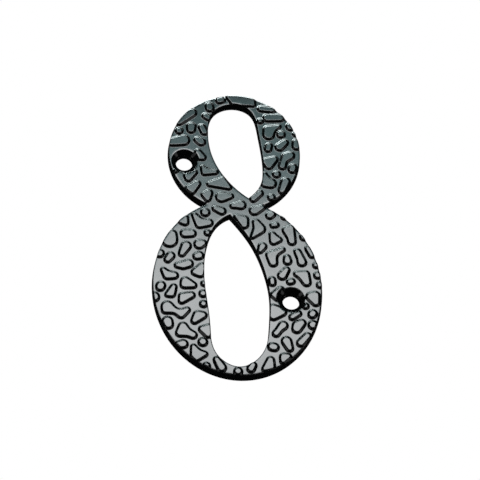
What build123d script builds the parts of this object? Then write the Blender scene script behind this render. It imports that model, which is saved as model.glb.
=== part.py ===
"""House number eight: a flat casting with a pebbled face and two countersunk screw holes."""
import os
from math import acos, atan2, ceil, cos, hypot, pi, radians, sin, tan

from build123d import *

# Frame, in millimetres: X runs to the right and Z up, the back lies on the wall at Y = 0 and
# the face looks along -Y. The origin is on the back, midway between the two screw holes.
# The figure is drawn on a sheet of units, counted from half its height on the axis of both
# loops. The two loops fill the sheet, and the sheet is drawn to the height of the numeral.

# Casting
numeral_height = 75.4
plate_thickness = 2.6  # from the back to the floor between the pebbles
relief_height = 0.4  # from that floor to the flat tops of the pebbles
draft_angle = 3.5  # lean of the outer walls, which are widest at the back

# Outer loops, at the back, in units of the sheet
upper_loop_diameter = 32.0
lower_loop_width = 40.1
lower_loop_height = 46.5
lower_loop_lean = 5.0  # degrees, its top towards -X
waist_overlap = 3.05  # how far the two loops run into each other, on their axis

# Counters, the two openings of the figure, in units. Each has a thin stroke at its round end,
# a corner at its other end, and side points given from the centre of its own loop.
top_stroke = 2.65
upper_counter_tip = (3.1, -12.35)
upper_counter_right = [(6.2, -8.2), (6.8, -1.6), (5.8, 6.3), (3.95, 11.8)]
upper_counter_left = [(-4.6, 11.5), (-6.25, 5.9), (-5.0, -2.0), (-1.1, -8.5)]
bottom_stroke = 2.6
lower_counter_tip = (-1.45, 19.05)
lower_counter_left = [(-4.7, 16.5), (-7.0, 11.0), (-7.6, 0.0), (-6.6, -9.5), (-5.2, -17.4)]
lower_counter_right = [(5.1, -17.6), (7.25, -9.5), (7.45, -1.5), (6.3, 4.6), (3.15, 12.5), (1.0, 15.85)]

# Screw holes, for 3.5 mm countersunk wood screws, with their places on the sheet in units
upper_hole = (-12.1, 19.1)
lower_hole = (12.6, -17.7)
hole_diameter = 4.0
countersink_diameter = 7.0  # at the tops of the pebbles
countersink_angle = 90.0

# Pebbles, in units. Each is a band drawn round a ring of knuckles (x, z, radius) taken
# anticlockwise, at the foot of the pebble. A negative radius is a knuckle that the band bends
# in round. The figure's outline and the countersinks trim the pebbles that reach past them.
shoulder_width = 0.36  # sloping rim from the foot of a pebble to its flat top
facet_angle = 30.0  # degrees of a knuckle's rim taken by one flat facet, at most
sheet_margin = 1.0  # border of the sheet of pebbles outside the figure
cut_margin = 0.05  # how far a cutting shape runs past the faces that it cuts

top_pebbles = [
    [(-10.2, 32.5, 1.25), (-13.4, 30.0, 1.2)],
    [(-13.3, 27.4, 1.0)],
    [(-12.3, 24.8, 1.55), (-15.1, 24.2, 1.2)],
    [(-10.35, 28.7, 1.2), (-10.4, 27.8, 1.1)],
    [(-7.8, 28.5, 0.95), (-7.2, 27.2, 1.0)],
    [(-8.9, 25.0, 0.95), (-8.0, 24.35, 1.1)],
    [(-5.9, 34.6, 1.05), (-5.8, 33.9, 1.1)],
    [(-6.9, 31.7, 0.9), (-6.0, 31.1, 0.9)],
    [(-3.4, 36.1, 1.0), (-2.8, 36.3, 0.95)],
    [(4.4, 36.3, 1.0), (-1.0, 37.4, 1.0), (0.0, 35.2, 0.6), (4.7, 35.2, 0.8)],
    [(9.4, 33.8, 0.95), (6.7, 34.05, 0.95)],
    [(11.3, 31.6, 1.15), (8.2, 31.5, 1.2)],
    [(6.4, 30.6, 0.85)],
    [(10.9, 29.15, 0.6), (8.2, 28.2, 1.2), (8.35, 26.8, 1.45), (11.75, 26.7, -1.8)],
    [(11.35, 26.95, 1.1)],
    [(13.8, 29.2, 1.25)],
    [(14.8, 27.1, 0.7)],
    [(12.2, 24.65, 0.95), (10.9, 23.4, 1.15)],
    [(8.35, 23.7, 0.9), (8.1, 22.8, 0.95)],
    [(14.9, 24.9, 0.9), (15.0, 23.7, 1.1)],
]
upper_pebbles = [
    [(-8.9, 21.8, 0.75), (-9.0, 20.15, 0.85), (-7.75, 20.1, 0.9)],
    [(-7.8, 17.5, 0.55), (-7.4, 15.85, 0.8), (-4.7, 16.1, 0.7), (-5.4, 18.9, -1.9)],
    [(-6.2, 12.8, 0.75), (-1.6, 12.0, 0.75), (-3.0, 14.2, 0.8)],
    [(-9.8, 15.95, 0.8), (-11.6, 15.0, 0.85), (-11.25, 14.2, 0.9)],
    [(-14.2, 16.3, 0.65)],
    [(-9.2, 12.8, 0.95), (-11.2, 11.6, 0.9), (-10.3, 10.6, 0.7)],
    [(-6.45, 10.35, 1.05), (-7.6, 9.9, 0.75), (-6.7, 8.65, 0.75)],
    [(-3.4, 9.3, 1.45), (-1.2, 9.6, 0.75)],
    [(5.8, 10.6, 0.9), (4.2, 8.9, 0.9)],
    [(8.55, 9.5, 0.98)],
    [(7.0, 15.9, 0.6), (7.2, 13.2, 1.1), (8.5, 13.3, 1.4), (9.3, 16.0, -1.3)],
    [(9.95, 15.85, 1.02)],
    [(9.55, 19.95, 0.95), (7.4, 19.4, 0.95), (8.2, 18.15, 1.05)],
    [(13.35, 21.1, 1.2), (12.3, 20.9, 1.0), (11.45, 18.1, 1.02), (13.95, 18.3, -1.45)],
    [(14.0, 17.9, 1.0), (13.8, 17.2, 1.05)],
    [(12.1, 13.9, 1.15), (11.2, 11.4, 1.0)],
]
waist_pebbles = [
    [(1.2, 7.25, 1.25), (-0.75, 6.95, 0.75), (-0.1, 5.0, -1.2)],
    [(-4.9, 6.2, 0.85), (-3.4, 5.5, 1.05)],
    [(-7.35, 5.1, 1.15)],
    [(6.3, 6.75, 0.85), (5.0, 8.3, -1.15), (4.4, 5.8, 1.3)],
    [(8.6, 4.9, 0.9), (8.0, 4.5, 1.0)],
    [(1.95, 3.35, 1.05), (0.1, 4.1, 0.65), (1.9, 1.9, 1.05)],
    [(4.75, 2.6, 0.95), (2.6, 1.2, -1.3), (3.8, -1.25, 0.6), (5.5, 0.9, 1.45)],
    [(11.6, 4.4, 1.05)],
    [(9.5, 2.05, 0.75), (8.7, 1.9, 0.75)],
]
left_pebbles = [
    [(-9.9, 4.25, 0.75), (-8.7, 1.85, 1.15), (-6.6, 2.3, 1.1), (-7.4, 4.75, -1.35)],
    [(-12.1, 3.5, 0.75), (-13.0, 2.6, 0.9), (-12.2, 2.3, 0.95)],
    [(-15.3, -1.0, 1.2), (-15.9, -2.5, 1.95)],
    [(-10.6, -0.65, 1.05), (-12.2, -0.65, 1.2)],
    [(-6.9, -0.4, 0.85)],
    [(-12.0, -4.0, 1.25), (-13.05, -6.1, 0.85)],
    [(-8.0, -3.2, 0.9), (-8.9, -3.5, 1.3)],
    [(-18.3, -6.1, 1.15)],
    [(-15.7, -6.7, 1.05), (-16.4, -7.7, 0.9)],
    [(-8.95, -6.5, 1.1), (-9.5, -6.7, 1.0)],
    [(-11.5, -8.7, 1.15), (-14.15, -9.2, 0.75), (-12.8, -9.2, 1.1)],
    [(-8.3, -9.3, 0.9), (-10.0, -10.9, 0.95), (-8.8, -11.2, 1.15)],
    [(-17.45, -10.45, 0.7), (-16.5, -11.95, 1.1), (-14.9, -11.9, 1.0), (-15.5, -9.2, -1.5)],
    [(-18.05, -14.6, 1.15), (-18.2, -15.0, 1.1)],
    [(-15.05, -14.9, 0.8), (-16.5, -16.95, 0.7), (-15.6, -16.75, 1.0)],
    [(-12.3, -13.4, 1.2), (-12.5, -14.25, 1.1), (-10.45, -14.4, 0.85)],
    [(-10.95, -17.0, 0.92), (-13.1, -17.3, 0.9), (-13.2, -18.5, 0.87)],
    [(-8.0, -13.9, 0.75)],
    [(-8.2, -16.55, 1.0)],
    [(-8.15, -19.25, 0.95)],
    [(-19.7, -17.6, 1.35)],
]
foot_pebbles = [
    [
        (-11.95, -20.85, 0.75),
        (-13.6, -19.0, -1.5),
        (-16.6, -20.1, 1.5),
        (-17.1, -21.1, 0.9),
        (-15.7, -23.6, -1.6),
        (-13.4, -22.1, 1.05),
    ],
    [(-16.6, -23.9, 1.3), (-16.4, -24.7, 1.2)],
    [(-8.35, -22.2, 1.0), (-9.5, -22.15, 1.15), (-10.3, -23.65, 0.9)],
    [(-7.0, -25.3, 0.9), (-8.55, -25.8, 0.9), (-7.2, -27.2, 0.9)],
    [
        (-13.0, -25.2, 1.15),
        (-13.75, -26.85, 1.05),
        (-12.3, -29.4, -1.45),
        (-10.75, -27.35, 1.05),
        (-10.4, -24.9, -1.2),
    ],
    [(-13.0, -29.7, 1.15), (-14.0, -29.9, 1.0)],
    [(-8.45, -29.1, 1.15)],
    [
        (-10.6, -30.4, 0.75),
        (-10.6, -32.6, 0.85),
        (-9.95, -33.4, 0.8),
        (-8.05, -32.2, 0.75),
        (-8.35, -30.0, -1.2),
    ],
    [(-7.7, -35.2, 0.95)],
    [(-5.3, -33.6, 0.85), (-4.2, -35.6, 1.15)],
    [(-0.4, -36.5, 1.05)],
    [(3.1, -34.9, 0.9), (2.6, -35.8, 1.0)],
    [(7.2, -33.5, 0.95), (5.8, -35.8, 0.75), (7.3, -35.2, 1.0)],
    [(11.3, -32.55, 0.85), (10.4, -32.75, 1.15), (10.1, -33.7, 0.8)],
    [(8.2, -30.2, 1.1), (7.7, -30.1, 1.1)],
    [(11.05, -28.6, 1.25), (11.75, -30.45, 0.9)],
    [(16.0, -27.2, 0.95), (14.4, -29.0, 1.05)],
    [(10.4, -24.55, 1.15), (7.55, -24.7, -1.2), (8.7, -26.65, 0.95), (11.2, -27.1, -1.35)],
    [(14.8, -23.85, 1.0), (13.7, -24.5, 1.2), (13.55, -25.35, 1.2)],
    [(17.4, -24.3, 1.2)],
]
right_pebbles = [
    [(8.5, -0.55, 0.8), (8.75, -2.4, 1.0), (10.15, -1.95, 0.7), (10.35, 0.1, -1.0)],
    [(6.1, -3.8, 1.05), (5.5, -5.0, 0.7)],
    [(13.05, 1.3, 0.85), (11.95, 0.6, 1.1), (10.6, -2.0, -1.35), (13.1, -2.35, 1.05)],
    [(16.1, -1.0, 1.15)],
    [(14.35, -5.1, 0.9), (12.9, -7.3, -1.2), (15.3, -7.85, 1.15)],
    [(16.9, -4.2, 0.8), (17.8, -5.9, 0.85)],
    [(18.65, -8.6, 0.85)],
    [(10.85, -4.55, 0.65), (7.7, -6.1, 0.95), (8.5, -8.1, 1.1), (11.0, -7.0, -1.4)],
    [(11.85, -6.7, 0.85), (11.9, -7.6, 1.05)],
    [(11.6, -9.95, 0.85), (10.55, -11.5, 1.15)],
    [(16.2, -10.9, 0.85), (14.0, -10.95, 0.8), (13.1, -13.4, -1.7), (16.25, -13.15, 1.1)],
    [(18.95, -11.25, 1.0)],
    [(19.4, -13.8, 0.9)],
    [(8.15, -12.6, 0.85), (8.2, -13.5, 0.85)],
    [(12.75, -12.95, 0.85), (12.3, -13.05, 0.85)],
    [(10.1, -15.3, 1.0), (8.5, -16.6, 0.9), (9.4, -17.4, 0.95)],
    [(14.0, -15.2, 1.05)],
    [(18.2, -16.6, 1.15), (17.2, -16.9, 1.25), (18.25, -18.45, 1.0)],
    [(15.8, -19.4, 0.85)],
    [(10.15, -21.0, 1.2), (8.2, -20.1, 1.1), (8.2, -22.2, 1.1)],
    [(14.0, -21.35, 0.85), (12.6, -22.35, 0.85)],
    [(17.5, -21.3, 1.05), (17.3, -21.6, 1.05)],
]
pebbles = top_pebbles + upper_pebbles + waist_pebbles + left_pebbles + right_pebbles + foot_pebbles

# Sizes that follow from those above
overall_thickness = plate_thickness + relief_height
front_inset = overall_thickness * tan(radians(draft_angle))
lower_loop_reach = hypot(lower_loop_width / 2 * sin(radians(lower_loop_lean)),
                         lower_loop_height / 2 * cos(radians(lower_loop_lean)))
sheet_height = upper_loop_diameter + 2 * lower_loop_reach - waist_overlap
unit = numeral_height / sheet_height
upper_radius = unit * upper_loop_diameter / 2
lower_half_width = unit * lower_loop_width / 2
lower_half_height = unit * lower_loop_height / 2
upper_centre = numeral_height / 2 - upper_radius
lower_centre = unit * lower_loop_reach - numeral_height / 2
upper_counter_top = (0, upper_loop_diameter / 2 - top_stroke)
lower_counter_bottom = (0, bottom_stroke - lower_loop_reach)
upper_counter = [
    upper_counter_tip, *upper_counter_right, upper_counter_top, *upper_counter_left, upper_counter_tip
]
lower_counter = [
    lower_counter_tip, *lower_counter_left, lower_counter_bottom, *lower_counter_right, lower_counter_tip
]

hole_places = [(unit * x, unit * z) for x, z in (upper_hole, lower_hole)]
hole_middle_x = (hole_places[0][0] + hole_places[1][0]) / 2
hole_middle_z = (hole_places[0][1] + hole_places[1][1]) / 2

back = Plane(origin=(-hole_middle_x, 0, -hole_middle_z), x_dir=(1, 0, 0), z_dir=(0, -1, 0))
floor_plane = back.offset(plate_thickness)
front = back.offset(overall_thickness)


def at_height(points, height):
    """Sheet points given from a loop's centre, moved to that centre's height."""
    return [(unit * x, unit * z + height) for x, z in points]


def on_knuckle(knuckle, angle):
    """The point of a knuckle's rim that lies at an angle from its centre."""
    x, z, radius = knuckle
    return (x + radius * cos(angle), z + radius * sin(angle))


def tangent_angle(here, there):
    """Direction of the outward normal of the straight run from one knuckle to the next."""
    run_x, run_z = there[0] - here[0], there[1] - here[1]
    return atan2(run_z, run_x) - acos((here[2] - there[2]) / hypot(run_x, run_z))


def turn_at(knuckles, i):
    """The angle at which a pebble's band meets one knuckle, and how far it turns round it."""
    if len(knuckles) == 1:
        return 0, 2 * pi
    following = knuckles[(i + 1) % len(knuckles)]
    arrival = tangent_angle(knuckles[i - 1], knuckles[i])
    turn = (tangent_angle(knuckles[i], following) - arrival) % (2 * pi)
    return arrival, turn if knuckles[i][2] > 0 else turn - 2 * pi


def pebble_corners(knuckles, height):
    """Corners of one pebble's facetted outline at a height above the floor between pebbles."""
    growth = -shoulder_width * height / relief_height
    ring = [(unit * x, unit * z, unit * r + growth) for x, z, r in knuckles]
    corners = []
    for i, knuckle in enumerate(ring):
        arrival, turn = turn_at(ring, i)
        facets = ceil(abs(turn) / radians(facet_angle))
        ends = facets if len(ring) == 1 else facets + 1
        corners += [on_knuckle(knuckle, arrival + turn * k / facets) for k in range(ends)]
    level = floor_plane.offset(height)
    return [level.from_local_coords(corner) for corner in corners]


def pebble(knuckles):
    """One pebble as a facetted solid with sloping sides, a little taller than the relief."""
    foot = pebble_corners(knuckles, -cut_margin)
    top = pebble_corners(knuckles, relief_height + 2 * cut_margin)
    outlines = [foot, top]
    for i in range(len(foot)):
        outlines.append([foot[i - 1], foot[i], top[i], top[i - 1]])
    return Solid(Shell([Face(Wire.make_polygon(outline)) for outline in outlines]))


# The grooves between the pebbles: a sheet with a sloping-sided window to each pebble
with BuildPart() as grooves:
    with BuildSketch(floor_plane):
        Rectangle(unit * lower_loop_width + 2 * sheet_margin, numeral_height + 2 * sheet_margin)
    extrude(amount=relief_height + cut_margin)
    add([pebble(knuckles) for knuckles in pebbles], mode=Mode.SUBTRACT, clean=False)

with BuildPart() as numeral:
    # Upper loop, a round disc with draft
    for plane, inset in ((back, 0), (front, front_inset)):
        with BuildSketch(plane):
            with Locations((0, upper_centre)):
                Circle(upper_radius - inset)
    loft()
    # Lower loop, a leaning oval disc with draft
    for plane, inset in ((back, 0), (front, front_inset)):
        with BuildSketch(plane):
            with Locations(Location((0, lower_centre), lower_loop_lean)):
                Ellipse(lower_half_width - inset, lower_half_height - inset)
    loft()
    # Counters, each drawn from its corner up one side, round the thin stroke and back
    with BuildSketch(back.offset(-cut_margin)):
        with BuildLine():
            Spline(at_height(upper_counter, upper_centre))
        make_face()
        with BuildLine():
            Spline(at_height(lower_counter, lower_centre))
        make_face()
    extrude(amount=overall_thickness + 2 * cut_margin, mode=Mode.SUBTRACT)
    add(grooves.part, mode=Mode.SUBTRACT)
    with Locations(front):
        with Locations(hole_places):
            CounterSinkHole(hole_diameter / 2, countersink_diameter / 2, None, countersink_angle)
numeral.part.label = "numeral"

os.makedirs("parts", exist_ok=True)
export_step(numeral.part, "parts/numeral.step", write_pcurves=False)
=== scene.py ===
"""Looks of a cast house number: its pebbled face, its gloss black coat, the studio and camera.

The casting's classes work in millimetres in the plan of the face, x to the right and z up, and
turn to metres only where a mesh is made. The face looks along -Y and the back lies at Y = 0.
"""
from __future__ import annotations

import logging
import math
from dataclasses import dataclass, field
from enum import Enum
from typing import Any

import bmesh
import bpy
import numpy as np
from mathutils import Matrix, Vector
from mathutils.geometry import delaunay_2d_cdt

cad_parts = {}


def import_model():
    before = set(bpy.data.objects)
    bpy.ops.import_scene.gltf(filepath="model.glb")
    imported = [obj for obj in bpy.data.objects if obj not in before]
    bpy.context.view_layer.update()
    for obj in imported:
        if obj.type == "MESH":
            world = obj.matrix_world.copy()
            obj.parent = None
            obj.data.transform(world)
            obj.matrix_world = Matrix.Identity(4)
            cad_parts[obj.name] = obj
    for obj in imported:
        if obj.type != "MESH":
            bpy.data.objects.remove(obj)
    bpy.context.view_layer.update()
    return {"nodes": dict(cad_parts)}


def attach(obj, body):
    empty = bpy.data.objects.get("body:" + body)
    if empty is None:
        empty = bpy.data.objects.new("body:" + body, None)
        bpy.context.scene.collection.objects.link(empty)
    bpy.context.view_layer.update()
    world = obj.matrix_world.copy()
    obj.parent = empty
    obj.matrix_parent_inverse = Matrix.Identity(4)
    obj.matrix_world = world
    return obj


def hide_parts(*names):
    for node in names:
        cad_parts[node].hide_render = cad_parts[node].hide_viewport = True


MM = 0.001
WELD_DIGITS = 4
LEVEL_TOLERANCE = 0.001
HULL_TRIANGLES = 0
MERGE_LIMIT = 1e-7
WHITE = (1.0, 1.0, 1.0, 1.0)
# A Mix node repeats its socket names for each type of data, so its colours go by number.
MIX_FACTOR = 0
MIX_FIRST = 6
MIX_SECOND = 7
MIX_RESULT = 2
Colour = tuple[float, float, float, float]
Settings = dict[str, Any]
Sockets = dict[str | int, Any]
log = logging.getLogger("house_number")


class CadSide(Enum):
    """The two flat sides of the solid, by the way that each looks along Y."""

    FACE = -1
    BACK = 1


def in_groups(counts: np.ndarray) -> tuple[np.ndarray, np.ndarray]:
    """Lays out groups of given sizes one after another.

    Args:
        counts: how many members each group has.

    Returns:
        For every member, the number of its group and its place in the group, from 0.
    """
    owner = np.repeat(np.arange(len(counts)), counts)
    first = np.repeat(np.cumsum(counts) - counts, counts)
    return owner, np.arange(counts.sum()) - first


def even_steps(lengths: np.ndarray, spacing: float) -> tuple[np.ndarray, np.ndarray]:
    """Splits each of a row of lengths into equal steps of about one spacing.

    Args:
        lengths: the lengths to split.
        spacing: the wanted step.

    Returns:
        For every step, the number of the length it is in and the share of it already passed.
    """
    counts = np.maximum(1, np.rint(lengths / spacing)).astype(int)
    owner, place = in_groups(counts)
    return owner, place / counts[owner]


def unit_rays(angles: np.ndarray) -> np.ndarray:
    """Rows (cos f, sin f) for angles f."""
    return np.stack([np.cos(angles), np.sin(angles)], axis=1)


def nearest_point(points: np.ndarray, targets: np.ndarray, chunk: int = 4000) -> np.ndarray:
    """Number of the target closest to each point, from |p|^2 - 2 p.q + |q|^2 without |p|^2.

    Args:
        points: rows (x, z).
        targets: rows (x, z).
        chunk: how many points are compared at once.

    Returns:
        One row number of targets for each point.
    """
    squares = np.sum(targets ** 2, axis=1)
    parts = [
        np.argmin(squares - 2 * points[i:i + chunk] @ targets.T, axis=1)
        for i in range(0, len(points), chunk)
    ]
    return np.concatenate(parts)


def inside_outline(points: np.ndarray, start: np.ndarray, end: np.ndarray) -> np.ndarray:
    """Tells which points lie inside, by an even-odd count of the sides to their right.

    A side is to the right of a point where its ends lie above and below it, and the side's x at
    the point's z, start + share (end - start), is the larger one.

    Args:
        points: rows (x, z).
        start: rows (x, z), where each side of the outline starts.
        end: rows (x, z), where each side ends.

    Returns:
        True for each point inside.
    """
    place = points[:, None, :]
    side = end - start
    crosses = (start[:, 1] > place[..., 1]) != (end[:, 1] > place[..., 1])
    share = (place[..., 1] - start[:, 1]) / np.where(side[:, 1] == 0, 1, side[:, 1])
    crosses &= place[..., 0] < start[:, 0] + share * side[:, 0]
    return crosses.sum(axis=1) % 2 == 1


def triangles_inside(points: np.ndarray, rings: list[np.ndarray]) -> np.ndarray:
    """Triangles of a plan inside its closed rings, by Delaunay triangulation.

    A triangle whose corners all lie on rings is kept only if its middle is inside them.

    Args:
        points: rows (x, z), those of the rings among them.
        rings: point numbers of each closed ring.

    Returns:
        Rows of three point numbers, anticlockwise.
    """
    sides = np.vstack([np.stack([ring, np.roll(ring, -1)], axis=1) for ring in rings])
    _, _, faces, sources, *_ = delaunay_2d_cdt(
        points.tolist(), sides.tolist(), [], HULL_TRIANGLES, MERGE_LIMIT)
    origin = np.array([source[0] if source else -1 for source in sources])
    triangles = origin[np.array(faces)]
    on_ring = np.zeros(len(points), bool)
    on_ring[np.concatenate(rings)] = True
    doubtful = np.flatnonzero(on_ring[triangles].all(axis=1))
    middle = points[triangles[doubtful]].mean(axis=1)
    keep = np.ones(len(triangles), bool)
    keep[doubtful] = inside_outline(middle, points[sides[:, 0]], points[sides[:, 1]])
    return triangles[keep & (triangles >= 0).all(axis=1)]


def direction(azimuth: float, elevation: float) -> Vector:
    """Unit vector at degrees round from the front, to the right, and above the horizon."""
    a, e = math.radians(azimuth), math.radians(elevation)
    return Vector((math.sin(a) * math.cos(e), -math.cos(a) * math.cos(e), math.sin(e)))


def add_to_scene(name: str, data: bpy.types.ID) -> bpy.types.Object:
    """Makes an object at the origin and links it to the scene.

    Args:
        name: its name.
        data: its mesh, lamp or camera.

    Returns:
        The object.
    """
    made = bpy.data.objects.new(name, data)
    bpy.context.scene.collection.objects.link(made)
    return made


@dataclass(frozen=True)
class PlanLoop:
    """A closed outline in the plan of the face, its last point joined to its first.

    Attributes:
        points: rows (x, z), in millimetres.
        corners: True at each point where the outline has a sharp corner.
    """

    points: np.ndarray
    corners: np.ndarray

    @classmethod
    def with_corners(cls, points: np.ndarray, least_turn: float) -> PlanLoop:
        """Marks as corners the points where the outline turns by more than an angle.

        Args:
            points: rows (x, z).
            least_turn: that angle, in degrees.

        Returns:
            The loop.
        """
        ahead = np.roll(points, -1, axis=0) - points
        heading = np.arctan2(ahead[:, 1], ahead[:, 0])
        turn = heading - np.roll(heading, 1)
        turn = np.abs((turn + np.pi) % (2 * np.pi) - np.pi)
        return cls(points, turn > math.radians(least_turn))

    @property
    def area(self) -> float:
        """Area inside, positive where the points run anticlockwise, by the shoelace sum."""
        x, z = self.points.T
        return float(0.5 * np.sum(x * np.roll(z, -1) - np.roll(x, -1) * z))

    def smooth(self, spacing: float) -> PlanLoop:
        """A smooth curve through the points, in small steps.

        Each side becomes a cubic that leaves and reaches its two points along the chord between
        their neighbours on both sides, or along the side itself at a sharp corner.

        Args:
            spacing: the wanted step.

        Returns:
            The curve as a finer loop with the same corners.
        """
        here = self.points
        following = np.roll(here, -1, axis=0)
        side = following - here
        length = np.linalg.norm(side, axis=1)
        chord = following - np.roll(here, 1, axis=0)
        chord /= np.linalg.norm(chord, axis=1, keepdims=True)
        along = side / length[:, None]
        sharp = self.corners[:, None]
        leaving = np.where(sharp, along, chord) * length[:, None]
        reaching = np.roll(np.where(sharp, np.roll(along, 1, axis=0), chord), -1, axis=0)
        reaching = reaching * length[:, None]
        owner, share = even_steps(length, spacing)
        t = share[:, None]
        curve = (
            (2 * t ** 3 - 3 * t ** 2 + 1) * here[owner]
            + (t ** 3 - 2 * t ** 2 + t) * leaving[owner]
            + (3 * t ** 2 - 2 * t ** 3) * following[owner]
            + (t ** 3 - t ** 2) * reaching[owner]
        )
        return PlanLoop(curve, self.corners[owner] & (share == 0))

    def even(self, spacing: float) -> PlanLoop:
        """The same line walked in equal steps from each sharp corner to the next.

        Args:
            spacing: the wanted step.

        Returns:
            The loop with its points evenly spaced.
        """
        start = int(np.argmax(self.corners))
        points = np.roll(self.points, -start, axis=0)
        corners = np.roll(self.corners, -start)
        closed = np.vstack([points, points[:1]])
        walked = np.r_[0, np.cumsum(np.linalg.norm(np.diff(closed, axis=0), axis=1))]
        marks = walked[:-1][corners] if corners.any() else walked[:1]
        runs = np.diff(np.r_[marks, walked[-1]])
        owner, share = even_steps(runs, spacing)
        places = marks[owner] + share * runs[owner]
        walk = [np.interp(places, walked, closed[:, axis]) for axis in (0, 1)]
        return PlanLoop(np.stack(walk, axis=1), corners.any() & (share == 0))

    def normal_angles(self, fan: int) -> tuple[np.ndarray, np.ndarray]:
        """Directions square to the outline, on its left: one to a point, a fan at a corner.

        Args:
            fan: how many directions a sharp corner gets, spread from one side's to the other's.

        Returns:
            For each direction, the number of its point and its angle.
        """
        ahead = np.roll(self.points, -1, axis=0) - self.points
        after = np.arctan2(ahead[:, 0], -ahead[:, 1])
        before = np.roll(after, 1)
        spread = (after - before + np.pi) % (2 * np.pi) - np.pi
        counts = np.where(self.corners, fan, 1)
        owner, place = in_groups(counts)
        share = (place + 0.5) / counts[owner]
        return owner, before[owner] + spread[owner] * share

    def offset(self, distance: float, fan: int = 5) -> np.ndarray:
        """Points of the parallel outline, each point moved along its normal.

        Args:
            distance: how far to the left of the outline.
            fan: how many points a sharp corner opens into.

        Returns:
            Rows (x, z).
        """
        owner, angle = self.normal_angles(fan)
        return self.points[owner] + distance * unit_rays(angle)


@dataclass
class SolidPlan:
    """The solid's mesh, read for the outlines of its flat sides.

    Attributes:
        points: rows (x, y, z) of its welded points, in millimetres.
        triangles: rows of three point numbers.
    """

    points: np.ndarray
    triangles: np.ndarray

    @classmethod
    def of_node(cls, node: bpy.types.Object) -> SolidPlan:
        """Reads a node of the frame.

        Args:
            node: the node's object.

        Returns:
            Its points, welded where they agree to a few digits, and its triangles.
        """
        mesh = node.data
        mesh.calc_loop_triangles()
        place = np.empty(len(mesh.vertices) * 3, np.float32)
        mesh.vertices.foreach_get("co", place)
        corners = np.empty(len(mesh.loop_triangles) * 3, np.int32)
        mesh.loop_triangles.foreach_get("vertices", corners)
        rounded = np.round(place.reshape(-1, 3).astype(float) / MM, WELD_DIGITS)
        points, number = np.unique(rounded, axis=0, return_inverse=True)
        return cls(points, number.ravel()[corners].reshape(-1, 3))

    def level(self, side: CadSide) -> float:
        """The Y of a flat side."""
        return float(side.value * np.max(side.value * self.points[:, 1]))

    def loops(self, side: CadSide) -> list[np.ndarray]:
        """Outlines of a flat side: the sides of its triangles that no other triangle shares.

        Args:
            side: which flat side.

        Returns:
            One array of rows (x, z) for each outline, with the material on its left as seen
            from the front.
        """
        flat = np.abs(self.points[:, 1] - self.level(side)) < LEVEL_TOLERANCE
        chosen = self.triangles[flat[self.triangles].all(axis=1)]
        here = chosen.ravel()
        there = chosen[:, [1, 2, 0]].ravel()
        count = len(self.points)
        open_side = ~np.isin(here * count + there, there * count + here)
        following = dict(zip(here[open_side].tolist(), there[open_side].tolist()))
        found = []
        while following:
            first, here_now = following.popitem()
            ring = [first]
            while here_now != first:
                ring.append(here_now)
                here_now = following.pop(here_now)
            found.append(self.points[ring][:, [0, 2]][::-side.value])
        return found


@dataclass
class PebbleField:
    """The relief of the face, as a height over its plan.

    Attributes:
        pebbles: the outline of each flat top, anticlockwise.
        trimmed: for each pebble, True at the sides where the figure's edge cuts it off.
        height: rise from the floor to a flat top.
        shoulder: width of the slope on the solid, from a flat top to the floor.
        crest: how far the slope's rounding reaches in over the flat top.
        fillet: how far its rounding reaches out over the floor.
        margin: how far beyond the rounding a pebble's distance is still worked out.
    """

    pebbles: list[PlanLoop]
    trimmed: list[np.ndarray]
    height: float = 0.4
    shoulder: float = 0.36
    crest: float = 0.12
    fillet: float = 0.18
    margin: float = 0.6

    def distance(self, points: np.ndarray) -> np.ndarray:
        """How far each point lies outside the nearest flat top, negative inside one.

        It is the shortest distance to the sides of a top, leaving out the sides where the
        figure's edge cuts it, with a minus sign inside the top.

        Args:
            points: rows (x, z).

        Returns:
            One distance for each point, at most the field's reach.
        """
        reach = self.shoulder + self.fillet + self.margin
        result = np.full(len(points), reach)
        for pebble, cut in zip(self.pebbles, self.trimmed):
            low = pebble.points.min(axis=0) - reach
            high = pebble.points.max(axis=0) + reach
            near = np.flatnonzero(((points > low) & (points < high)).all(axis=1))
            if not len(near):
                continue
            place = points[near][:, None, :]
            start = pebble.points
            end = np.roll(start, -1, axis=0)
            side = end - start
            share = np.sum((place - start) * side, axis=2) / np.sum(side ** 2, axis=1)
            foot = start + np.clip(share, 0, 1)[..., None] * side
            gap = np.linalg.norm(place - foot, axis=2)
            gap[:, cut] = reach
            shortest = gap.min(axis=1)
            signed = np.where(inside_outline(points[near], start, end), -shortest, shortest)
            result[near] = np.minimum(result[near], signed)
        return result

    def rise(self, distance: np.ndarray) -> np.ndarray:
        """Height over the floor: an S-curve, 1 - u^2 (3 - 2 u), u from crest to fillet.

        Args:
            distance: distances outside the flat tops.

        Returns:
            One height for each distance.
        """
        u = np.clip((distance + self.crest) / (self.crest + self.shoulder + self.fillet), 0, 1)
        return self.height * (1 - u * u * (3 - 2 * u))


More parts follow.
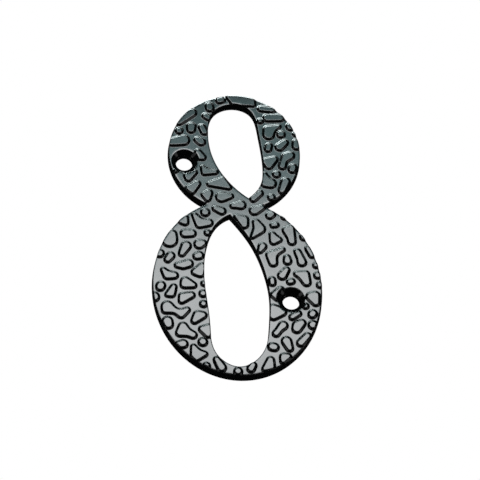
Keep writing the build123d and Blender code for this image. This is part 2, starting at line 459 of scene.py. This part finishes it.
@dataclass
class MeshDraft:
    """Points and faces gathered for one mesh.

    Attributes:
        points: arrays of rows (x, y, z), in millimetres.
        relief: for each of those arrays, the share of the pebbles' height at each point.
        faces: lists of point numbers.
        count: how many points there are so far.
        weld: points nearer to each other than this are made one.
    """

    points: list[np.ndarray] = field(default_factory=list)
    relief: list[np.ndarray] = field(default_factory=list)
    faces: list[list[int]] = field(default_factory=list)
    count: int = 0
    weld: float = 0.002

    def add_points(
        self, plan: np.ndarray, y: np.ndarray | float, relief: np.ndarray | float = 0.0
    ) -> np.ndarray:
        """Adds points over the plan.

        Args:
            plan: rows (x, z).
            y: their Y.
            relief: their share of the pebbles' height.

        Returns:
            Their point numbers.
        """
        level = np.broadcast_to(y, len(plan))
        self.points.append(np.stack([plan[:, 0], level, plan[:, 1]], axis=1))
        self.relief.append(np.broadcast_to(relief, len(plan)))
        numbers = np.arange(self.count, self.count + len(plan))
        self.count += len(plan)
        return numbers

    def add_wall(self, front: np.ndarray, back: np.ndarray) -> None:
        """Adds a band of four-sided faces between two closed rings, seen from their right.

        Args:
            front: point numbers of the ring nearer the face.
            back: as many point numbers of the ring behind it.
        """
        ahead, behind = np.roll(front, -1), np.roll(back, -1)
        self.faces += np.stack([front, back, behind, ahead], axis=1).tolist()

    def make(self, name: str, sharp: float) -> bpy.types.Object:
        """Makes the object, welds points that meet, and shades it smooth up to an angle.

        Args:
            name: the object's name.
            sharp: edges that turn by more than this, in degrees, stay sharp.

        Returns:
            The object, in the scene, with its relief as a point attribute.
        """
        mesh = bpy.data.meshes.new(name)
        mesh.from_pydata((np.vstack(self.points) * MM).tolist(), [], self.faces)
        layer = mesh.attributes.new("relief", "FLOAT", "POINT")
        layer.data.foreach_set("value", np.concatenate(self.relief).astype(np.float32))
        work = bmesh.new()
        work.from_mesh(mesh)
        bmesh.ops.remove_doubles(work, verts=work.verts, dist=self.weld * MM)
        work.to_mesh(mesh)
        work.free()
        mesh.shade_smooth()
        mesh.set_sharp_from_angle(angle=math.radians(sharp))
        return add_to_scene(name, mesh)


@dataclass
class Border:
    """One edge of the face and the wall that runs back from it.

    Attributes:
        rings: the parallel outlines of the face's rounded rim, from the edge inwards.
        drops: how far each of those lies behind the face.
        wall: the wall's further rings as (rows (x, z), Y), from the face to the back.
    """

    rings: list[np.ndarray]
    drops: list[float]
    wall: list[tuple[np.ndarray, float]]

    @property
    def inward(self) -> np.ndarray:
        """Unit steps from the edge into the face."""
        step = self.rings[-1] - self.rings[0]
        return step / np.linalg.norm(step, axis=1, keepdims=True)

    def inside(self, depth: float) -> np.ndarray:
        """The edge moved into the face by a depth, as rows (x, z)."""
        return self.rings[0] + depth * self.inward


@dataclass(frozen=True)
class FaceSpacing:
    """How the points of the face are spaced, and which of them are left out.

    Attributes:
        step: spacing along the pebbles and edges.
        curve_steps: steps of a smoothed outline to one of those.
        ring_gap: spacing of the parallel rings over a shoulder.
        fill: spacing of points on the flats.
        verge_rings: how many rings follow each edge inside its rim.
        ring_slack: how far off its distance a shoulder's point may be, in ring gaps.
        verge_slack: the same for a point of the rings along an edge.
        rim_clearance: space left between the rims and the shoulders' points, in ring gaps.
        top_clearance: space left inside the innermost ring of a pebble, in ring gaps.
        floor_clearance: space left outside its outermost ring, in ring gaps.
        grid_clearance: space left between the grid and the rings along an edge, in fills.
    """

    step: float = 0.13
    curve_steps: int = 3
    ring_gap: float = 0.085
    fill: float = 0.5
    verge_rings: int = 3
    ring_slack: float = 0.2
    verge_slack: float = 0.3
    rim_clearance: float = 0.5
    top_clearance: float = 0.6
    floor_clearance: float = 0.8
    grid_clearance: float = 0.3


@dataclass
class NumeralCasting:
    """The figure itself: pebbled face, edges, counters, countersunk holes and plain back.

    Attributes:
        node: the frame's node that it stands for.
        hole_radius: radius of a screw hole.
        sink_radius: radius of its countersink at the flat tops.
        cone_shares: places of the cone's rings, as shares of its depth.
        hole_start: where the straight hole starts, in depths of the cone.
        draft: lean of the outer wall, in degrees.
        counter_draft: how much a counter's front edge is wider than its back one.
        rim: radius of the face's rounded edge.
        sink_rim: the same round a countersink.
        sink_ease: how deep that one is, as a share of a quarter round.
        rim_angles: places of the rings on a quarter round, in degrees.
        fall: how far the face falls away at its edges.
        fall_width: how far from an edge it starts to.
        wall_share: place of the wall's first ring, as a share of its height.
        back_break: width of the broken edge at the back.
        back_inset: how far inside the solid's outline the wall ends.
        corner_turn: least turn of a sharp corner of an outline, in degrees.
        sharp_turn: edges that turn by more than this, in degrees, are shaded sharp.
        cut_gap: a flat top is cut off where it comes this near to an edge.
        least_top: area of the smallest flat top that is kept, in square millimetres.
        circle_points: points of the circle that stands for a countersink's edge.
        probe_depth: how far inside an edge the relief along that edge is read.
        spacing: spacing of the points of the face.
    """

    node: bpy.types.Object
    hole_radius: float = 2.0
    sink_radius: float = 3.5
    cone_shares: tuple[float, float] = (0.55, 0.96)
    hole_start: float = 1.08
    draft: float = 3.5
    counter_draft: float = 0.04
    rim: float = 0.1
    sink_rim: float = 0.08
    sink_ease: float = 0.4
    rim_angles: tuple[float, ...] = (0.0, 20.0, 42.0, 66.0, 90.0)
    fall: float = 0.025
    fall_width: float = 0.5
    wall_share: float = 0.8
    back_break: float = 0.07
    back_inset: float = 0.002
    corner_turn: float = 25.0
    sharp_turn: float = 42.0
    cut_gap: float = 0.09
    least_top: float = 0.01
    circle_points: int = 240
    probe_depth: float = 0.06
    spacing: FaceSpacing = FaceSpacing()

    def __post_init__(self) -> None:
        """Reads the outlines that the figure is made over, largest first."""
        self.solid = SolidPlan.of_node(self.node)
        self.front = self.solid.level(CadSide.FACE)
        self.inset = -self.front * math.tan(math.radians(self.draft))
        found = [
            self.refine(PlanLoop.with_corners(points, self.corner_turn))
            for points in self.solid.loops(CadSide.BACK)
        ]
        found.sort(key=lambda loop: -abs(loop.area))
        self.outer, self.counters = found[0], found[1:3]
        self.hole_centres = [loop.points.mean(axis=0) for loop in found[3:]]
        self.field = self.read_pebbles()

    def refine(self, loop: PlanLoop) -> PlanLoop:
        """A smooth curve through an outline, in even steps."""
        return loop.smooth(self.spacing.step / self.spacing.curve_steps).even(self.spacing.step)

    def is_cut(self, points: np.ndarray, edge: np.ndarray) -> np.ndarray:
        """True at each of a flat top's points that an edge, given by its points, cuts off."""
        gap = np.linalg.norm(points - edge[nearest_point(points, edge)], axis=1)
        return gap < self.cut_gap

    def read_pebbles(self) -> PebbleField:
        """Reads the flat tops, marking the sides that the figure's edges cut.

        Returns:
            The field of pebbles.
        """
        turn = np.linspace(0, 2 * np.pi, self.circle_points, endpoint=False)
        circle = self.sink_radius * unit_rays(turn)
        edge = np.vstack([
            self.outer.offset(self.inset),
            *[counter.points for counter in self.counters],
            *[centre + circle for centre in self.hole_centres],
        ])
        pebbles, trimmed = [], []
        for points in self.solid.loops(CadSide.FACE):
            top = PlanLoop(points, self.is_cut(points, edge))
            if top.area < self.least_top:
                continue
            top = self.refine(top)
            cut = self.is_cut(top.points, edge)
            pebbles.append(top)
            trimmed.append(cut & np.roll(cut, -1))
        return PebbleField(pebbles, trimmed)

    def rim_profile(self, radius: float) -> tuple[np.ndarray, np.ndarray]:
        """A quarter round: at angle f it is r (1 - cos f) in and r (1 - sin f) down.

        Args:
            radius: its radius.

        Returns:
            How far in from the edge, and how far behind the face, each of its rings lies.
        """
        f = np.radians(self.rim_angles)
        return radius * (1 - np.cos(f)), radius * (1 - np.sin(f))

    def outline_border(self, loop: PlanLoop, inset: float) -> Border:
        """The rounded rim and the wall along the outer edge or a counter.

        Args:
            loop: the outline at the back, with the material on its left.
            inset: how far the face's edge lies inside it.

        Returns:
            The border.
        """
        inwards, drops = self.rim_profile(self.rim)
        rings = [loop.offset(inset + d) for d in inwards]
        wall = [
            (loop.offset(self.wall_share * inset), self.wall_share * self.front + self.rim),
            (loop.offset(self.back_inset), -self.back_break),
            (loop.offset(self.back_break), 0.0),
        ]
        return Border(rings, drops.tolist(), wall)

    def hole_border(self, centre: np.ndarray) -> Border:
        """The countersink's mouth, its cone and the straight hole behind it.

        The cone opens at a right angle and is as wide as sink_radius at the flat tops, so its
        mouth is narrower by as much as the face round it lies lower.

        Args:
            centre: the hole's centre.

        Returns:
            The border, run clockwise so that the material is on its left.
        """
        count = int(2 * np.pi * self.sink_radius / self.spacing.step)
        ray = unit_rays(-np.linspace(0, 2 * np.pi, count, endpoint=False))
        inwards, drops = self.rim_profile(self.sink_rim)
        outside = self.field.distance(centre + ray * (self.sink_radius + self.probe_depth))
        mouth = self.sink_radius - self.field.height + self.field.rise(outside)
        rings = [centre + ray * (mouth + d)[:, None] for d in inwards]
        depth = self.sink_radius - self.hole_radius
        cone = [
            (self.sink_radius - share * depth, self.front + share * depth)
            for share in self.cone_shares
        ]
        hole = [
            (self.hole_radius, self.front + self.hole_start * depth),
            (self.hole_radius, -self.back_break),
            (self.hole_radius + self.back_break, 0.0),
        ]
        wall = [(centre + ray * radius, y) for radius, y in cone + hole]
        return Border(rings, (self.sink_ease * drops).tolist(), wall)

    def borders(self) -> list[Border]:
        """All five edges of the face: outer edge, two counters, two holes.

        Returns:
            The borders, in that order.
        """
        made = [self.outline_border(self.outer, self.inset)]
        made += [self.outline_border(loop, self.counter_draft) for loop in self.counters]
        return made + [self.hole_border(centre) for centre in self.hole_centres]

    def edge_gap(self, points: np.ndarray, borders: list[Border]) -> np.ndarray:
        """How far each point lies inside the face's edges, negative outside them.

        Args:
            points: rows (x, z).
            borders: the edges.

        Returns:
            One distance for each point, along the normal of the nearest point of an edge.
        """
        edge = np.vstack([border.rings[0] for border in borders])
        inward = np.vstack([border.inward for border in borders])
        closest = nearest_point(points, edge)
        return np.sum((points - edge[closest]) * inward[closest], axis=1)

    def edge_fall(self, points: np.ndarray, borders: list[Border]) -> np.ndarray:
        """How far the face has fallen away near its edges: fall (1 - gap / width) squared.

        Args:
            points: rows (x, z).
            borders: the edges.

        Returns:
            One fall for each point.
        """
        share = np.clip(1 - self.edge_gap(points, borders) / self.fall_width, 0, 1)
        return self.fall * share ** 2

    def ring_levels(self) -> np.ndarray:
        """Distances from a flat top's outline at which the rings over its shoulder run.

        Returns:
            The distances, from the innermost ring to the outermost.
        """
        gap = self.spacing.ring_gap
        inner, outer = -self.field.crest, self.field.shoulder + self.field.fillet
        count = int(round((outer - inner) / gap)) + 1
        return np.r_[inner - gap, np.linspace(inner, outer, count), outer + gap]

    def shoulder_points(self, borders: list[Border]) -> np.ndarray:
        """Points on parallel rings over each pebble's shoulder, clear of the rims.

        A ring's point stays only where its own pebble is the nearest one, so that the rings of
        close neighbours don't cross.

        Args:
            borders: the edges.

        Returns:
            Rows (x, z).
        """
        spacing = self.spacing
        levels = self.ring_levels()
        rings = [(pebble.offset(-d), d) for pebble in self.field.pebbles for d in levels]
        points = np.vstack([ring for ring, _ in rings])
        wanted = np.concatenate([np.full(len(ring), d) for ring, d in rings])
        error = np.abs(self.field.distance(points) - wanted)
        points = points[error < spacing.ring_slack * spacing.ring_gap]
        least_gap = self.rim + spacing.rim_clearance * spacing.ring_gap
        return points[self.edge_gap(points, borders) >= least_gap]

    def grid_points(self, borders: list[Border]) -> np.ndarray:
        """A sparse grid of equal-sided triangles, whose rows lie sqrt(0.75) sides apart.

        Args:
            borders: the edges.

        Returns:
            Rows (x, z) of its points inside the edges, clear of where the face falls away.
        """
        fill = self.spacing.fill
        low, high = self.outer.points.min(axis=0), self.outer.points.max(axis=0)
        rows = np.arange(low[1], high[1], fill * math.sqrt(0.75))
        columns = np.arange(low[0], high[0], fill)
        x, z = np.meshgrid(columns, rows)
        x = x + (np.arange(len(rows)) % 2 * fill / 2)[:, None]
        grid = np.stack([x.ravel(), z.ravel()], axis=1)
        least_gap = self.fall_width + self.spacing.grid_clearance * fill
        return grid[self.edge_gap(grid, borders) > least_gap]

    def verge_points(self, borders: list[Border]) -> np.ndarray:
        """Points on rings along each edge, where the face falls away.

        Args:
            borders: the edges.

        Returns:
            Rows (x, z), without those that another edge comes nearer to.
        """
        spacing = self.spacing
        depths = np.linspace(self.rim, self.fall_width, spacing.verge_rings + 1)[1:]
        points = np.vstack([border.inside(depth) for depth in depths for border in borders])
        wanted = np.repeat(depths, len(points) // len(depths))
        error = np.abs(self.edge_gap(points, borders) - wanted)
        return points[error < spacing.verge_slack * spacing.ring_gap]

    def face_points(self, borders: list[Border]) -> np.ndarray:
        """Points of the face clear of its rims: on the shoulders, along the edges, on the flats.

        Args:
            borders: the edges.

        Returns:
            Rows (x, z).
        """
        spacing = self.spacing
        levels = self.ring_levels()
        flats = np.vstack([self.grid_points(borders), self.verge_points(borders)])
        distance = self.field.distance(flats)
        on_top = distance < levels[0] - spacing.top_clearance * spacing.ring_gap
        on_floor = distance > levels[-1] + spacing.floor_clearance * spacing.ring_gap
        return np.vstack([self.shoulder_points(borders), flats[on_top | on_floor]])

    def add_face(self, draft: MeshDraft, borders: list[Border]) -> list[np.ndarray]:
        """Adds the face, rims and all: its Y is floor - rise + drop of the rim + fall.

        Along a rim, the rise is read a little way inside the edge.

        Args:
            draft: the mesh, still empty.
            borders: the edges.

        Returns:
            The point numbers along each edge.
        """
        plan, probe, drop, edges = [], [], [], []
        count = 0
        for border in borders:
            edges.append(np.arange(count, count + len(border.rings[0])))
            for ring, ring_drop in zip(border.rings, border.drops):
                plan.append(ring)
                probe.append(ring + self.probe_depth * border.inward)
                drop.append(np.full(len(ring), ring_drop))
                count += len(ring)
        inner = self.face_points(borders)
        plan = np.vstack([*plan, inner])
        probe = np.vstack([*probe, inner])
        drop = np.concatenate([*drop, np.zeros(len(inner))])
        rise = self.field.rise(self.field.distance(probe))
        fall = self.edge_fall(plan, borders)
        floor = self.front + self.field.height
        draft.add_points(plan, floor - rise + drop + fall, rise / self.field.height)
        draft.faces += triangles_inside(plan, edges).tolist()
        return edges

    def add_walls(
        self, draft: MeshDraft, borders: list[Border], edges: list[np.ndarray]
    ) -> list[np.ndarray]:
        """Adds the wall behind each edge, ring after ring.

        Args:
            draft: the mesh, with its face.
            borders: the edges.
            edges: the point numbers along each edge.

        Returns:
            The point numbers of each wall's last ring.
        """
        last_rings = []
        for border, ring in zip(borders, edges):
            for plan, y in border.wall:
                further = draft.add_points(plan, y)
                draft.add_wall(ring, further)
                ring = further
            last_rings.append(ring)
        return last_rings

    def add_back(
        self, draft: MeshDraft, borders: list[Border], last_rings: list[np.ndarray]
    ) -> None:
        """Adds the flat back between the walls' last rings.

        Args:
            draft: the mesh, with its face and walls.
            borders: the edges.
            last_rings: the point numbers of each wall's last ring.
        """
        plan = np.vstack([border.wall[-1][0] for border in borders])
        ends = np.cumsum([len(ring) for ring in last_rings])
        rings = np.split(np.arange(ends[-1]), ends[:-1])
        back = np.concatenate(last_rings)[triangles_inside(plan, rings)]
        draft.faces += back[:, ::-1].tolist()

    def build(self) -> bpy.types.Object:
        """Makes the casting's mesh, one closed shell.

        Returns:
            The piece, at the origin.
        """
        borders = self.borders()
        draft = MeshDraft()
        edges = self.add_face(draft, borders)
        last_rings = self.add_walls(draft, borders, edges)
        self.add_back(draft, borders, last_rings)
        return draft.make("numeral_casting", self.sharp_turn)

    def dress(self, piece: bpy.types.Object, finish: GlossBlack) -> None:
        """Coats the casting, and lets it stand for its node on the frame.

        Args:
            piece: the built casting.
            finish: its coat.
        """
        piece.data.materials.append(finish.make())
        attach(piece, "root")
        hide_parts(self.node.name)


class Value:
    """A number in a shader, which takes part in Python sums and products."""

    def __init__(self, graph: ShaderGraph, socket: bpy.types.NodeSocket) -> None:
        """Wraps an output socket of a graph."""
        self.graph = graph
        self.socket = socket

    def __add__(self, other: Value | float) -> Value:
        """Adds a Math node for a sum."""
        return self.graph.math("ADD", self, other)

    __radd__ = __add__

    def __mul__(self, other: Value | float) -> Value:
        """Adds a Math node for a product."""
        return self.graph.math("MULTIPLY", self, other)

    __rmul__ = __mul__

    def larger(self, other: Value | float) -> Value:
        """Adds a Math node for the larger of two values."""
        return self.graph.math("MAXIMUM", self, other)


class ShaderGraph:
    """The node tree of one material or world."""

    def __init__(self, tree: bpy.types.NodeTree) -> None:
        """Clears a tree to build in."""
        self.tree = tree
        tree.nodes.clear()

    @classmethod
    def of_material(cls, name: str) -> tuple[bpy.types.Material, ShaderGraph]:
        """Makes a material.

        Args:
            name: its name.

        Returns:
            The material and its graph, still empty.
        """
        material = bpy.data.materials.new(name)
        material.use_nodes = True
        return material, cls(material.node_tree)

    def node(self, kind: str, settings: Settings, sockets: Sockets) -> bpy.types.Node:
        """Adds a node.

        Args:
            kind: its type.
            settings: its properties, set first.
            sockets: its inputs by name or number, each a Value, an output socket or a constant.

        Returns:
            The node.
        """
        made = self.tree.nodes.new(kind)
        for name, setting in settings.items():
            setattr(made, name, setting)
        for name, source in sockets.items():
            target = made.inputs[name]
            if isinstance(source, Value):
                self.tree.links.new(source.socket, target)
            elif isinstance(source, bpy.types.NodeSocket):
                self.tree.links.new(source, target)
            else:
                target.default_value = source
        return made

    def value(self, kind: str, settings: Settings, sockets: Sockets, output: str) -> Value:
        """Adds a node and wraps the output of that name."""
        return Value(self, self.node(kind, settings, sockets).outputs[output])

    def math(self, operation: str, first: Value | float, second: Value | float) -> Value:
        """Adds a Math node for two values."""
        sockets = {0: first, 1: second}
        return self.value("ShaderNodeMath", {"operation": operation}, sockets, "Value")

    def noise(self, scale: float, detail: float, roughness: float) -> Value:
        """Adds a solid noise on the object's own coordinates.

        Args:
            scale: its waves to a metre.
            detail: how many finer layers it has.
            roughness: how strong those are.

        Returns:
            Its level, from 0 to 1.
        """
        place = self.node("ShaderNodeTexCoord", {}, {}).outputs["Object"]
        return self.value(
            "ShaderNodeTexNoise", {"noise_dimensions": "3D"},
            {"Vector": place, "Scale": scale, "Detail": detail, "Roughness": roughness}, "Fac")

    def coat(self, shader: bpy.types.Node) -> None:
        """Gives a shader to the material's surface."""
        self.node("ShaderNodeOutputMaterial", {}, {"Surface": shader.outputs["BSDF"]})


@dataclass(frozen=True)
class GlossBlack:
    """Smooth gloss black coat on a casting, with painted shade in the grooves between pebbles.

    Attributes:
        light_tone_and_crest_light: the coat's lighter colour, on the crests as painted light and
            at the light end of its cloudy change.
        dark_tone_and_groove_shade: the coat's darker colour, in the grooves as painted shade and
            at the dark end of its cloudy change.
        relief_shade_share: how much of the change of colour follows the relief as painted shade,
            the rest being cloudy.
        roughness: its lowest and highest roughness.
        cloud: scale, detail and roughness of its cloudy change.
        ripple_size: wavelength of the coat's flow ripple, in metres.
        ripple_height: depth of that ripple, in metres.
        ripple_layers: detail and roughness of that ripple.
        index: its refractive index.
    """

    light_tone_and_crest_light: Colour = (0.001, 0.0014, 0.0014, 1.0)
    dark_tone_and_groove_shade: Colour = (0.0006, 0.0008, 0.0008, 1.0)
    relief_shade_share: float = 0.7
    roughness: tuple[float, float] = (0.11, 0.16)
    cloud: tuple[float, float, float] = (160.0, 3.0, 0.55)
    ripple_size: float = 0.0016
    ripple_height: float = 0.000004
    ripple_layers: tuple[float, float] = (2.0, 0.5)
    index: float = 1.5

    def make(self) -> bpy.types.Material:
        """Makes the material.

        Returns:
            A material on the piece's object coordinates and its relief.
        """
        material, graph = ShaderGraph.of_material("gloss_black_coat")
        relief = graph.value("ShaderNodeAttribute", {"attribute_name": "relief"}, {}, "Fac")
        cloud = graph.noise(*self.cloud)
        ripple = graph.noise(1 / self.ripple_size, *self.ripple_layers)
        # Painted shade: the colour is darker where the relief is low, between the pebbles, mixed
        # with a random cloudy tone.
        relief_shade_and_tone = relief * self.relief_shade_share + cloud * (1 - self.relief_shade_share)
        colour = graph.node(
            "ShaderNodeMix", {"data_type": "RGBA"},
            {MIX_FACTOR: relief_shade_and_tone, MIX_FIRST: self.dark_tone_and_groove_shade, MIX_SECOND: self.light_tone_and_crest_light})
        low, high = self.roughness
        bump = graph.node(
            "ShaderNodeBump", {},
            {"Strength": 1.0, "Distance": self.ripple_height, "Height": ripple})
        graph.coat(graph.node(
            "ShaderNodeBsdfPrincipled", {},
            {"Base Color": colour.outputs[MIX_RESULT], "Roughness": low + (high - low) * cloud,
             "IOR": self.index, "Normal": bump.outputs["Normal"]}))
        return material


@dataclass(frozen=True)
class PaleFloor:
    """Matt pale floor, far below the numeral.

    Attributes:
        colour: its colour.
        roughness: its lowest and highest roughness.
        mottle: scale, detail and roughness of the change between those.
        level: its Z, in metres.
        width: its width and depth, in metres.
    """

    colour: Colour = (0.86, 0.86, 0.86, 1.0)
    roughness: tuple[float, float] = (0.75, 0.85)
    mottle: tuple[float, float, float] = (3.0, 2.0, 0.5)
    level: float = -0.5
    width: float = 8.0

    def make(self) -> bpy.types.Object:
        """Makes the floor, a stage piece: one square face at its level.

        Returns:
            The floor.
        """
        half = self.width / 2
        corners = [(-half, -half), (half, -half), (half, half), (-half, half)]
        mesh = bpy.data.meshes.new("floor")
        mesh.from_pydata([(x, y, self.level) for x, y in corners], [], [(0, 1, 2, 3)])
        material, graph = ShaderGraph.of_material("pale_floor")
        low, high = self.roughness
        dull = low + (high - low) * graph.noise(*self.mottle)
        graph.coat(graph.node(
            "ShaderNodeBsdfPrincipled", {}, {"Base Color": self.colour, "Roughness": dull}))
        mesh.materials.append(material)
        floor = add_to_scene("floor", mesh)
        return floor


@dataclass(frozen=True)
class BlackCurtain:
    """Black cloth hung round and over the numeral, and laid below it, seen in reflections only.

    It keeps the walls and shoulders of a gloss black casting dark. Behind, it hangs down to the
    floor cloth. In front it stops higher, and the cloth on the floor is narrower.

    Attributes:
        radius: metres from the numeral to the ring.
        top: height of its upper edge.
        front_hem: height of its lower edge in front.
        floor_level: height of the cloth on the floor, and of the ring's lower edge behind.
        front_reach: metres that the cloth on the floor reaches to the front.
        opening: half of the front's share of the ring, in degrees.
        strip: each upright strip's share of the ring, in degrees.
        colour: colour of the cloth.
        unseen: kinds of ray that pass through it.
    """

    radius: float = 1.2
    top: float = 2.8
    front_hem: float = -0.2
    floor_level: float = -0.49
    front_reach: float = 1.0
    opening: float = 100.0
    strip: float = 5.0
    colour: Colour = (0.01, 0.01, 0.01, 1.0)
    unseen: tuple[str, ...] = ("camera", "diffuse", "shadow", "transmission", "volume_scatter")

    def make(self) -> bpy.types.Object:
        """Makes the curtain, a stage piece: a ring of upright strips, a roof and a floor cloth.

        Returns:
            The curtain.
        """
        turn = np.radians(np.arange(0.0, 360.0, self.strip))
        count = len(turn)
        in_front = np.cos(turn) > math.cos(math.radians(self.opening))
        ray = np.stack([np.sin(turn), -np.cos(turn)], axis=1)
        hem = np.where(in_front, self.front_hem, self.floor_level)
        reach = np.where(in_front, self.front_reach, self.radius)
        around = self.radius * ray
        rings = [
            np.column_stack([around, hem]),
            np.column_stack([around, np.full(count, self.top)]),
            np.column_stack([reach[:, None] * ray, np.full(count, self.floor_level)]),
        ]
        here = np.arange(count)
        there = np.roll(here, -1)
        strips = np.stack([here, there, there + count, here + count], axis=1).tolist()
        roof = (here + count).tolist()
        floor_cloth = (here + 2 * count).tolist()
        mesh = bpy.data.meshes.new("curtain")
        mesh.from_pydata(np.vstack(rings).tolist(), [], [*strips, roof, floor_cloth])
        material, graph = ShaderGraph.of_material("black_cloth")
        graph.coat(graph.node("ShaderNodeBsdfDiffuse", {}, {"Color": self.colour}))
        mesh.materials.append(material)
        curtain = add_to_scene("curtain", mesh)
        for ray_kind in self.unseen:
            setattr(curtain, "visible_" + ray_kind, False)
        return curtain


@dataclass(frozen=True)
class SoftLamp:
    """A soft studio lamp that faces the numeral.

    Attributes:
        name: its name.
        azimuth: degrees round from the front, to the right.
        elevation: degrees above the horizon.
        distance: metres from the numeral.
        width: metres across.
        height: metres high.
        brightness: brightness of its surface, where 1 is as bright as white paper.
        colour: tint of its light.
        aim_height: height of the point on the numeral's upright axis that it faces.
        spread: full angle that a grid on the lamp keeps its light within, in degrees.
    """

    name: str
    azimuth: float
    elevation: float
    distance: float
    width: float
    height: float
    brightness: float
    colour: tuple[float, float, float] = (1.0, 1.0, 1.0)
    aim_height: float = 0.0
    spread: float = 180.0

    def make(self) -> bpy.types.Object:
        """Makes the lamp: its power is brightness times pi times its area.

        Returns:
            The lamp.
        """
        data = bpy.data.lights.new(self.name, "AREA")
        data.shape = "RECTANGLE"
        data.color = self.colour
        data.size = self.width
        data.size_y = self.height
        data.spread = math.radians(self.spread)
        data.energy = self.brightness * math.pi * self.width * self.height
        lamp = add_to_scene(self.name, data)
        lamp.location = direction(self.azimuth, self.elevation) * self.distance
        facing = lamp.location - Vector((0, 0, self.aim_height))
        lamp.rotation_euler = facing.to_track_quat("Z", "Y").to_euler()
        lamp.visible_camera = False
        return lamp


@dataclass(frozen=True)
class StudioSky:
    """The world: white to the eye and in reflections, and a plain grey light on everything.

    Attributes:
        light: the grey level of its light.
    """

    light: float = 0.75

    def make(self) -> bpy.types.World:
        """Makes the world and gives it to the scene.

        Returns:
            The world.
        """
        world = bpy.data.worlds.new("studio_sky")
        world.use_nodes = True
        graph = ShaderGraph(world.node_tree)
        path = graph.node("ShaderNodeLightPath", {}, {}).outputs
        seen = Value(graph, path["Is Camera Ray"]).larger(Value(graph, path["Is Glossy Ray"]))
        seen = seen.larger(Value(graph, path["Is Transmission Ray"]))
        sky = graph.node(
            "ShaderNodeBackground", {},
            {"Color": WHITE, "Strength": self.light + (1 - self.light) * seen})
        graph.node("ShaderNodeOutputWorld", {}, {"Surface": sky.outputs["Background"]})
        bpy.context.scene.world = world
        return world


@dataclass(frozen=True)
class PhotoCamera:
    """A camera at the photograph's viewing angle.

    Attributes:
        azimuth: degrees round from the front, to the right.
        elevation: degrees above the horizon.
        roll: degrees that the view is turned.
        distance: metres from the point it is aimed at.
        aim: that point, in metres.
        lens: focal length, in millimetres.
        sensor: width of the sensor, in millimetres.
        shift: sideways and upward shift, as shares of the image.
        clip: nearest and furthest distance that is seen, in metres.
    """

    azimuth: float = -5.11
    elevation: float = -27.96
    roll: float = -1.37
    distance: float = 0.65
    aim: tuple[float, float, float] = (-0.00025, 0.0, -0.0007)
    lens: float = 204.97
    sensor: float = 36.0
    shift: tuple[float, float] = (0.0092, -0.0058)
    clip: tuple[float, float] = (0.01, 50.0)

    def make(self) -> bpy.types.Object:
        """Makes the camera and gives it to the scene.

        Returns:
            The camera.
        """
        back = direction(self.azimuth, self.elevation)
        right = direction(self.azimuth + 90, 0)
        up = back.cross(right)
        r = math.radians(self.roll)
        across = math.cos(r) * right + math.sin(r) * up
        upward = math.cos(r) * up - math.sin(r) * right
        data = bpy.data.cameras.new("photo_camera")
        data.sensor_width = self.sensor
        data.lens = self.lens
        data.shift_x, data.shift_y = self.shift
        data.clip_start, data.clip_end = self.clip
        camera = add_to_scene("photo_camera", data)
        turned = Matrix((across, upward, back)).transposed().to_4x4()
        camera.matrix_world = Matrix.Translation(Vector(self.aim) + self.distance * back) @ turned
        bpy.context.scene.camera = camera
        return camera


@dataclass
class Studio:
    """Floor, curtain, lamps, sky and camera.

    The front lamp is mirrored by the flats of the lower loop and the upper lamp by those of the
    upper loop. The crown lamp touches the upper edges of the pebbles, and the rear lamps the back.

    Attributes:
        lamps: the soft lamps.
    """

    lamps: list[SoftLamp] = field(default_factory=lambda: [
        SoftLamp(
            "front_lamp", azimuth=-2.5, elevation=25.05, distance=1.0, width=0.443, height=0.124,
            brightness=12.5, colour=(0.97, 1.0, 1.01)),
        SoftLamp(
            "upper_lamp", azimuth=0.0, elevation=30.6, distance=1.0, width=0.54, height=0.068,
            brightness=2.5, colour=(0.5, 1.0, 1.05)),
        SoftLamp(
            "crown_lamp", azimuth=-12.0, elevation=70.0, distance=0.108, width=0.1, height=0.045,
            brightness=7.0, colour=(0.85, 1.0, 1.0), aim_height=0.06, spread=56.0),
        SoftLamp(
            "left_rear_lamp", azimuth=-122.0, elevation=-14.0, distance=1.0, width=0.28,
            height=0.3, brightness=0.9),
        SoftLamp(
            "right_rear_lamp", azimuth=128.0, elevation=-14.0, distance=1.0, width=0.28,
            height=0.3, brightness=0.9),
    ])

    def build(self) -> None:
        """Makes everything in the studio."""
        for piece in (PaleFloor(), BlackCurtain(), *self.lamps, PhotoCamera()):
            log.info("studio: %s", piece.make().name)
        StudioSky().make()
        bpy.context.scene.view_settings.view_transform = "Standard"


def main() -> None:
    """Builds the casting on the frame and the studio round it, and logs the casting's faces and
    pebbles.
    """
    logging.basicConfig(level=logging.INFO, format="%(message)s")
    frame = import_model()
    casting = NumeralCasting(frame["nodes"]["numeral"])
    piece = casting.build()
    casting.dress(piece, GlossBlack())
    log.info("casting: %d faces, %d pebbles", len(piece.data.polygons), len(casting.field.pebbles))
    Studio().build()


if __name__ == "__main__":
    main()
